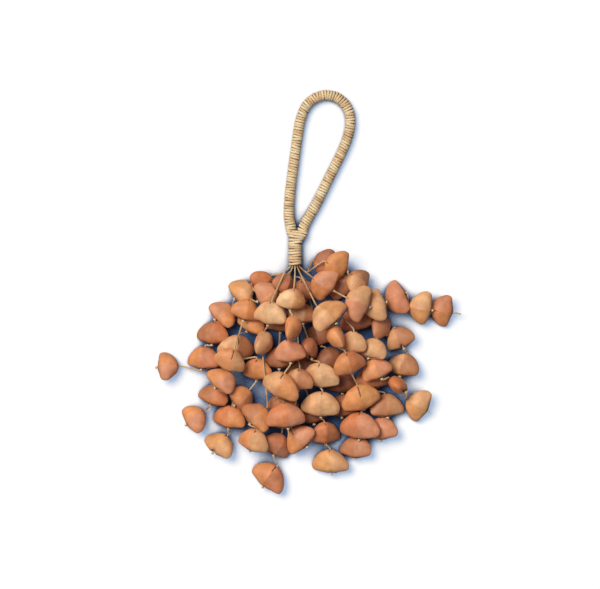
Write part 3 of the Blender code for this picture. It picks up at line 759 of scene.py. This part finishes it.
def ring_values(share):
    """Height, reach across, reach through and sag at each share of the way to the base."""
    keys = np.array(FINE_RINGS)
    places = keys[:, 0]
    slopes = np.gradient(keys[:, 1:], places, axis=0)
    index = np.clip(np.searchsorted(places, share, side="right") - 1, 0, len(places) - 2)
    span = (places[index + 1] - places[index])[:, None]
    t = ((share - places[index]) / span[:, 0])[:, None]
    start, end = keys[index, 1:], keys[index + 1, 1:]
    return ((2 * t ** 3 - 3 * t ** 2 + 1) * start + (t ** 3 - 2 * t ** 2 + t) * span * slopes[index]
            + (3 * t ** 2 - 2 * t ** 3) * end + (t ** 3 - t ** 2) * span * slopes[index + 1])


def smooth_skin(shell, look, share, lobe, chance):
    """A shell's outer points before its slit, seam and dents: rows from the apex to the base."""
    width, height, thickness = shell_sizes(shell.size)
    level, across, through, sag = ring_values(share).T[:, :, None]
    facing = np.sin(seam_angles())[None, :]
    face = np.sign(facing) * np.abs(facing) ** SKIN_RIDGE
    swell = LOBE_SWELL * (chance.random() - 0.5)
    lobe_size = 1 + swell + LOBE_TILT * (chance.random() - 0.5) * np.tanh(LOBE_BLEND * lobe)
    x = width / 2 * across * lobe * lobe_size
    slope = ROOF_SLOPES[0] + (ROOF_SLOPES[1] - ROOF_SLOPES[0]) * chance.random()
    roof = slope * ROOF_REACH * (1 - np.exp(-np.abs(x) / ROOF_REACH)) * through
    y = thickness / 2 * through * face - roof * facing
    z = height * (level - sag * lobe ** 2) + DROOP * (chance.random() - 0.5) * x
    # Two notches of the base, opposite each other, rise towards the apex
    z = z + look.notch * height * near_base(share) ** 2 * np.exp(-(lobe / NOTCH_WIDTH) ** 2)
    return np.stack([x, y, z], axis=-1)


def seam_angles():
    """Angles round a shell's axis, crowded towards its seam."""
    spread = np.arange(FINE_SEGMENTS) * 2 * np.pi / FINE_SEGMENTS
    return spread + SEAM_CROWDING * np.sin(2 * spread)


def near_base(share):
    """How near each ring is to the base, from 0 to 1 over the last stretch."""
    return np.clip((share[:, None] - BASE_START) / (1 - BASE_START), 0.0, 1.0)


def nut_shell_mesh(name, shell, look, seed):
    """One hollow nut shell: two lobes that meet in a seam, slit at the apex, open at the base."""
    share = np.linspace(0.0, 1.0, FINE_RING_COUNT + 1)[1:] ** RING_CROWDING
    lobe = np.cos(seam_angles())[None, :]
    low = near_base(share)
    points = smooth_skin(shell, look, share, lobe, random.Random(seed))
    sizes = np.array(shell_sizes(shell.size))[[0, 2, 1]]
    outward = points / (sizes / 2) ** 2
    outward /= np.linalg.norm(outward, axis=-1)[..., None] + 1e-9

    off_seam = np.abs(points[..., 0])
    in_slit = np.clip((look.slit - 0.5 + points[..., 2] / sizes[2]) / SLIT_FADE, 0.0, 1.0)
    slit = np.exp(-(off_seam / SLIT_WIDTH) ** 2) * in_slit
    seam = np.exp(-(off_seam / SEAM_WIDTH) ** 2) * (1 - in_slit)
    dents = np.empty(off_seam.shape)
    wear = np.empty(off_seam.shape)
    shift = Vector([seed * step for step in SEED_STEPS])
    for place in np.ndindex(dents.shape):
        spot = Vector(points[place])
        dents[place] = sum(depth * noise.noise(spot / DENT_SIZE * fineness + shift)
                           for depth, fineness in DENT_WAVES)
        wear[place] = noise.noise(spot / MM * WEAR_PER_MM + shift)
    push = DENT_DEPTH * dents - SLIT_DEPTH * slit - SEAM_DEPTH * seam
    points = points + outward * push[..., None]
    points[..., 2] += RIM_WEAR * wear * low ** 3

    rows, columns = dents.shape
    faces = [face[::-1] for face in grid_faces(rows, columns)]
    faces += [[column, (column + 1) % columns, rows * columns] for column in range(columns)]
    tip = np.array((0.0, 0.0, points[0, :, 2].mean() + TIP_RISE))
    all_points = np.concatenate([points.reshape(-1, 3), tip[None, :]])
    mesh = make_mesh(name, all_points, faces)

    # The tones carry painted light and shade: one half lit and the other shaded, bulges lit, dents, slit and
    # tip shaded
    side = 0.5 + TONE_SPREAD * np.tanh((points[..., 0] + TONE_WANDER * dents) / BLEND_WIDTH)
    tone = linear(look.right) + (linear(look.left) - linear(look.right)) * side[..., None]
    shade = ((1 + DENT_SHADE * dents) * (1 - LOBE_SHADE * np.abs(lobe) ** 3 * low)
             * (1 - BASE_SHADE * low ** 4) * (1 - SLIT_SHADE * slit - SEAM_SHADE * seam))
    tone *= shade[..., None]
    tones = np.concatenate([tone.reshape(-1, 3), tone[0].mean(axis=0)[None, :] * TIP_SHADE])
    set_attributes(mesh, tones, all_points + np.array(shift) * GRAIN_SHIFT)
    return mesh


class Shader:
    """A material's surface and the nodes that feed it."""

    def __init__(self, name):
        self.material = bpy.data.materials.new(name)
        self.material.use_nodes = True
        self.nodes = self.material.node_tree.nodes
        self.links = self.material.node_tree.links
        self.surface = self.nodes["Principled BSDF"].inputs

    def feed(self, socket, output):
        self.links.new(output, self.surface[socket])

    def node(self, kind, inputs, **settings):
        """A new node, each of its inputs linked to an output or set to a constant."""
        node = self.nodes.new("ShaderNode" + kind)
        for name, value in settings.items():
            setattr(node, name, value)
        for place, value in inputs.items():
            if isinstance(value, bpy.types.NodeSocket):
                self.links.new(value, node.inputs[place])
            else:
                node.inputs[place].default_value = value
        return node

    def stored(self, name, output):
        """What set_attributes stored at each point under a name."""
        return self.node("Attribute", {}, attribute_name=name).outputs[output]

    def scaled(self, vector, scale):
        """A vector output times a scale on each axis."""
        return self.node("VectorMath", {0: vector, 1: scale}, operation="MULTIPLY").outputs[0]

    def noise(self, vector, pattern):
        return self.node("TexNoise", {"Vector": vector, "Scale": pattern.scale, "Detail": pattern.detail,
                                      "Roughness": pattern.roughness}).outputs["Fac"]

    def levels(self, value, start, end, low=0.0, high=1.0):
        """A value's stretch from start to end, turned into low to high."""
        return self.node("MapRange", {"Value": value, "From Min": start, "From Max": end,
                                      "To Min": low, "To Max": high}).outputs["Result"]

    def pattern_levels(self, value, pattern):
        return self.levels(value, pattern.start, pattern.end, pattern.low, pattern.high)

    def mixed(self, factor, first, second, blend="MIX"):
        """A mix of two colours; each of them and the factor is an output or a constant."""
        return self.node("Mix", {0: factor, 6: first, 7: second}, data_type="RGBA",
                         blend_type=blend).outputs[2]

    def times(self, colour, value):
        return self.mixed(1.0, colour, value, "MULTIPLY")

    def bumped(self, height, relief, before=None):
        """The surface's normal with a relief laid over it: its depth and its strength."""
        inputs = {"Height": height, "Distance": relief[0], "Strength": relief[1]}
        if before is not None:
            inputs["Normal"] = before
        return self.node("Bump", inputs).outputs["Normal"]


def shell_material():
    """Dry nut shell: mottled, faintly streaked from apex to base, specked, satin."""
    shader = Shader("nut_shell_skin")
    grain = shader.stored("grain", "Vector")
    mottle = shader.noise(grain, MOTTLE)
    streaks = shader.noise(shader.scaled(grain, STREAK_STRETCH), STREAKS)
    colour = shader.times(shader.stored("tone", "Color"), shader.pattern_levels(mottle, MOTTLE))
    colour = shader.times(colour, shader.pattern_levels(streaks, STREAKS))
    for pattern, tone in ((BLUSH, "terracotta"), (SPECKS, "umber")):
        share = shader.pattern_levels(shader.noise(grain, pattern), pattern)
        colour = shader.mixed(share, colour, opaque(linear(tone)))
    shader.feed("Base Color", colour)
    shader.feed("Roughness", shader.levels(mottle, MOTTLE.start, MOTTLE.end, *SHELL_ROUGHNESS))
    shader.surface["Specular IOR Level"].default_value = SHELL_SHINE
    normal = shader.bumped(shader.noise(grain, PORES), PORE_RELIEF)
    shader.feed("Normal", shader.bumped(streaks, STREAK_RELIEF, normal))
    return shader.material


def rough_material(name, pattern, tones, roughness, relief, stretch=None):
    """A dull surface that wanders between two tones, stretched where it covers a bare solid."""
    shader = Shader(name)
    if stretch:
        place = shader.scaled(shader.node("TexCoord", {}).outputs["Object"], stretch)
    else:
        place = shader.stored("grain", "Vector")
    rough = shader.noise(place, pattern)
    first, second = (opaque(linear(tone)) for tone in tones)
    shader.feed("Base Color", shader.mixed(shader.pattern_levels(rough, pattern), first, second))
    shader.surface["Roughness"].default_value = roughness
    shader.feed("Normal", shader.bumped(rough, relief))
    return shader.material


def fibre_material(name, lay, plies):
    """Spun plant fibre: fine strands along each ply, dull, with a soft sheen."""
    shader = Shader(name)
    grain = shader.stored("grain", "Vector")
    strands = shader.noise(shader.scaled(grain, SPUN_STRETCH), SPUN)
    inputs = {"Vector": shader.scaled(grain, (1.0, 1.0, 0.0)), "Scale": plies / (lay / MM),
              "Distortion": PLY_DISTORTION}
    wave = shader.node("TexWave", inputs, wave_type="BANDS", bands_direction="DIAGONAL").outputs["Fac"]
    colour = shader.times(shader.stored("tone", "Color"), shader.pattern_levels(strands, SPUN))
    # Painted shade between the plies and painted light on their crowns
    colour = shader.times(colour, shader.levels(wave, 0.0, 1.0, *PLY_LIGHT_AND_SHADE))
    shader.feed("Base Color", colour)
    shader.surface["Roughness"].default_value = FIBRE_ROUGHNESS
    shader.surface["Sheen Weight"].default_value = FIBRE_SHEEN
    shader.surface["Specular IOR Level"].default_value = FIBRE_SHINE
    normal = shader.bumped(wave, PLY_RELIEF)
    shader.feed("Normal", shader.bumped(strands, SPUN_RELIEF, normal))
    return shader.material


def shell_look(listed):
    """A shell's look from how it is listed."""
    left, right, *depths = listed.split()
    return Look(left, right, *map(float, depths))


def build_shells(number, strand, places, materials):
    """A strand's nut shells, each on its own solid."""
    pieces = []
    for index, (shell, place) in enumerate(zip(strand.shells, places)):
        name = f"shell_{number:02d}_{index + 1}"
        look = shell_look(LOOKS[number - 1][index])
        mesh = nut_shell_mesh(name, shell, look, number * 10 + index)
        mesh.transform(place)
        skins = [materials["shell"], materials["inside"]]
        piece = add_piece(name, mesh, skins, f"strand_{number:02d}")
        wall = piece.modifiers.new("wall", "SOLIDIFY")
        wall.thickness = SHELL_WALL
        wall.offset = -1.0
        wall.material_offset = 1
        wall.material_offset_rim = 0
        pieces.append(piece)
    return pieces


def knot_mesh(name, centre, along, seed):
    """A tight overhand knot round the string's line."""
    turn = np.linspace(0.0, 2 * np.pi, KNOT_POINTS, endpoint=False)
    reach = 2 + np.cos(3 * turn)
    ring = np.stack([reach * np.cos(2 * turn), reach * np.sin(2 * turn), np.sin(3 * turn)], axis=1)
    turned = Vector(along).normalized().to_track_quat("Z", "Y").to_matrix()
    points = ring * KNOT_RADIUS / 2 @ np.array(turned).T + centre
    tones = strand_tones(points, "string_light", "string_light", "string", seed, KNOT_TONE_RUN)
    return tube_mesh(name, points, KNOT_STRAND, KNOT_SIDES, tones, closed=True)


def build_knots(number, strand, places, points, materials):
    """The knots that hold a strand's shells, each just below its shell's base."""
    pieces = []
    for index, (shell, place) in enumerate(zip(strand.shells, places)):
        base = place @ Vector((0.0, 0.0, -shell_sizes(shell.size)[1] / 2 - KNOT_DROP))
        nearest = int(np.linalg.norm(points - np.array(base), axis=1).argmin())
        nearest = min(max(nearest, 2), len(points) - 3)
        name = f"knot_{number:02d}_{index + 1}"
        along = points[nearest + 2] - points[nearest - 2]
        mesh = knot_mesh(name, points[nearest], along, number * 10 + index)
        pieces.append(add_piece(name, mesh, [materials["string"]], f"strand_{number:02d}"))
    return pieces


def build_string(number, route, materials):
    """A strand's string: the fine, soft points along its route, and the piece."""
    points = resampled(np.array([place[:] for place in route]), STRING_FINE_STEP)
    points = softened(points, STRING_FINE_STEP, STRING_SOFTNESS)
    tones = strand_tones(points, "string", "string_light", "string_dark", number, STRING_TONE_RUN)
    name = f"string_{number:02d}"
    mesh = tube_mesh(name, points, STRING_FULLNESS * STRING_DIAMETER / 2, STRING_SIDES, tones,
                     STRING_PLIES, STRING_LAY, STRING_PLY_DEPTH)
    return points, add_piece(name, mesh, [materials["string"]], f"strand_{number:02d}")


def build_strand(number, strand, heap, materials):
    """A strand's string, shells and knots, laid on the heap."""
    below = heap.copy()
    places = [lay_shell(shell, heap) for shell in reversed(strand.shells)][::-1]
    route = string_route(strand, places, below)
    points, string = build_string(number, route, materials)
    carried = build_shells(number, strand, places, materials)
    carried += build_knots(number, strand, places, points, materials)
    for start, end in zip(route[1:], route[2:]):
        heap.add(line_points(start, end, STRING_DIAMETER / 2, STRING_DIAMETER / 2))


def winding_mesh(name, centre, across, upward, half_width, half_depth, squareness, turns, lean, seed):
    """A flat two-ply twine wound round a stretch that is given by functions of its share."""
    count = int(turns * TURN_POINTS)
    share = np.linspace(0.0, 1.0, count)
    turn = np.arange(count) / TURN_POINTS
    wobble = drifting(turn * WOBBLE_PACE, seed, WOBBLE_ROW)
    slant = drifting(turn / LEAN_TURNS, seed, LEAN_ROW)
    angle = 2 * np.pi * turn - np.pi / 2
    power = (2 / squareness(share))[:, None]
    cosine, sine = np.cos(angle)[:, None], np.sin(angle)[:, None]
    wide = half_width(share)[:, None] * np.sign(cosine) * np.abs(cosine) ** power
    deep = half_depth(share)[:, None] * np.sign(sine) * np.abs(sine) ** power
    middle = centre(share)
    points = middle + (across(share) * wide + upward(share) * deep) * (1 + TURN_SWELL * wobble[:, None])
    course = unit(np.gradient(middle, axis=0))
    points += course * (wobble * TURN_WOBBLE + lean * slant * np.cos(angle))[:, None] * TWINE_PITCH
    along = unit(np.gradient(points, axis=0))
    outward = unit(np.cross(course, along))
    outward *= np.sign((outward * (points - middle)).sum(axis=1))[:, None]
    beside = np.cross(along, outward)

    arc = cumulative_length(points)[:, None]
    around = np.arange(TWINE_SIDES) * 2 * np.pi / TWINE_SIDES
    twist = around - 2 * np.pi * arc / TWINE_LAY
    groove = 0.5 - 0.5 * np.cos(TWINE_PLIES * twist)
    reach = 1 - TWINE_PLY_DEPTH * groove
    rings = (points[:, None, :]
             + beside[:, None, :] * (TWINE_WIDTH / 2 * reach * np.cos(around))[..., None]
             + outward[:, None, :] * (TWINE_RADIUS * reach * np.sin(around))[..., None])
    mesh = make_mesh(name, rings, tube_faces(count, TWINE_SIDES))

    tone = strand_tones(points, "straw", "straw_light", "straw_dark", seed, TWINE_TONE_RUN)
    each = drifting(np.floor(turn) * SHADE_STEP, seed, SHADE_ROW)[:, None]
    # Painted shade in the grooves between plies and in the creases at each turn's edges
    shade = ((TWINE_BRIGHTNESS + TURN_VARIETY * each) * (1 - TWINE_PLY_SHADE * groove)
             * (1 - TWINE_EDGE_SHADE * np.abs(np.cos(around)) ** 6))
    grain = np.stack([arc + 0 * twist, twist * TWINE_RADIUS, 0 * twist + seed * TWINE_GRAIN_STEP], axis=-1)
    set_attributes(mesh, tone[:, None, :] * shade[..., None], grain)
    return mesh


def build_loop_winding(materials):
    """The twine round the loop, turn beside turn from one leg's end to the other's."""
    route = np.array([place[:] for place in loop_route()])
    fine = softened(resampled(route, LOOP_FINE_STEP), LOOP_FINE_STEP, LOOP_SOFTNESS)
    length = cumulative_length(fine)[-1]
    normals, sideways = frames_along(fine)
    places = np.linspace(0.0, 1.0, len(fine))

    def along(table):
        return lambda share: np.stack([np.interp(share, places, table[:, axis]) for axis in range(3)], axis=1)

    def constant(value):
        return lambda share: value + 0 * share

    radius = constant(LOOP_RADIUS - TWINE_RADIUS)
    mesh = winding_mesh("loop_winding", along(fine), along(sideways), along(normals), radius, radius,
                        constant(ROUND), length / TWINE_PITCH, LOOP_LEAN, LOOP_SEED)
    add_piece("loop_winding", mesh, [materials["twine"]], "loop_wrap")


def build_neck_winding(materials):
    """The twine that draws the two legs into one neck."""
    keys = np.array(neck_sections())[::-1]
    bottom = NECK_BOTTOM + TWINE_WIDTH / 2
    top = LEG_END + TWINE_WIDTH / 2

    def level(share):
        return bottom + share * (top - bottom)

    def value(column, less=0.0):
        return lambda share: np.interp(level(share), keys[:, 0], keys[:, column]) - less

    def direction(x, z):
        return lambda share: np.array((x, 0.0, z)) + np.zeros((len(share), 3))

    middle_x, middle_z = value(1), value(2)
    mesh = winding_mesh(
        "neck_winding",
        lambda share: np.stack([middle_x(share), level(share), middle_z(share)], axis=1),
        direction(1.0, 0.0), direction(0.0, 1.0), value(3, TWINE_RADIUS), value(4, TWINE_RADIUS), value(5),
        (top - bottom) / TWINE_PITCH, NECK_LEAN, NECK_SEED)
    add_piece("neck_winding", mesh, [materials["twine"]], "neck_binding")


def make_floor():
    """A plain pale floor that comes out white where the light falls on it and keeps its shadows. Under the
    heap it is painted dark blue with shade, and a bluish glow that only the camera sees paints its shadows
    blue.
    """
    bpy.ops.mesh.primitive_plane_add(size=FLOOR_SIZE)
    floor = bpy.context.object
    floor.name = "floor"
    shader = Shader("floor")
    shader.surface["Roughness"].default_value = FLOOR_ROUGHNESS
    shader.surface["Specular IOR Level"].default_value = FLOOR_SHINE
    seen = shader.node("LightPath", {}).outputs["Is Camera Ray"]
    # Painted shade: where the occlusion test finds the heap over the floor, its colour turns dark blue and
    # its glow goes out
    cover = shader.node("AmbientOcclusion", {"Distance": COVER_HEIGHT}).outputs["AO"]
    unshaded = shader.levels(cover, *SHADE_COVER_SHARES)
    colour = shader.mixed(unshaded, opaque(FLOOR_PAINTED_SHADE), opaque(FLOOR_SEEN))
    shader.feed("Base Color", shader.mixed(seen, opaque(FLOOR_BOUNCE), colour))
    shader.feed("Emission Color", shader.mixed(unshaded, opaque((0.0, 0.0, 0.0)), opaque(FLOOR_GLOW)))
    shader.feed("Emission Strength", seen)
    floor.data.materials.append(shader.material)


def make_light():
    """A broad lamp from the upper left and a faint sky, which together light a table white."""
    data = bpy.data.lights.new("key", "SUN")
    data.energy = SUN_STRENGTH
    data.angle = math.radians(SUN_SPREAD)
    data.color = SUN_COLOUR
    placed("key", data).rotation_euler = Vector(SUN_PLACE).to_track_quat("Z", "Y").to_euler()
    world = bpy.data.worlds.new("surround")
    bpy.context.scene.world = world
    world.use_nodes = True
    nodes, links = world.node_tree.nodes, world.node_tree.links
    light = nodes["Background"]
    light.inputs["Color"].default_value = opaque(SKY_COLOUR)
    light.inputs["Strength"].default_value = 1.0
    backdrop = nodes.new("ShaderNodeBackground")
    backdrop.inputs["Color"].default_value = opaque((1.0, 1.0, 1.0))
    seen = nodes.new("ShaderNodeLightPath")
    mix = nodes.new("ShaderNodeMixShader")
    links.new(seen.outputs["Is Camera Ray"], mix.inputs["Fac"])
    links.new(light.outputs[0], mix.inputs[1])
    links.new(backdrop.outputs[0], mix.inputs[2])
    links.new(mix.outputs[0], nodes["World Output"].inputs["Surface"])


def main():
    bpy.context.scene.view_settings.view_transform = "Standard"
    make_camera()
    materials = {
        "shell": shell_material(),
        "inside": rough_material("nut_shell_inside", INNER_WALL, ("inside", "dark"),
                                 INNER_ROUGHNESS, INNER_RELIEF),
        "string": fibre_material("string_fibre", STRING_LAY, STRING_PLIES),
        "twine": fibre_material("twine_fibre", TWINE_BAND_LAY, TWINE_PLIES),
    }
    bundle = rough_material("fibre_bundle", BUNDLE, ("dark", "straw_dark"),
                            BUNDLE_ROUGHNESS, BUNDLE_RELIEF, BUNDLE_STRETCH)
    heap = Heap(heap_reach())
    for number, strand in enumerate(STRANDS, start=1):
        build_strand(number, strand, heap, materials)
    build_loop_winding(materials)
    build_neck_winding(materials)
    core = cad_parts["handle_core"]
    core.data.materials.clear()
    core.data.materials.append(bundle)
    make_floor()
    make_light()


main()
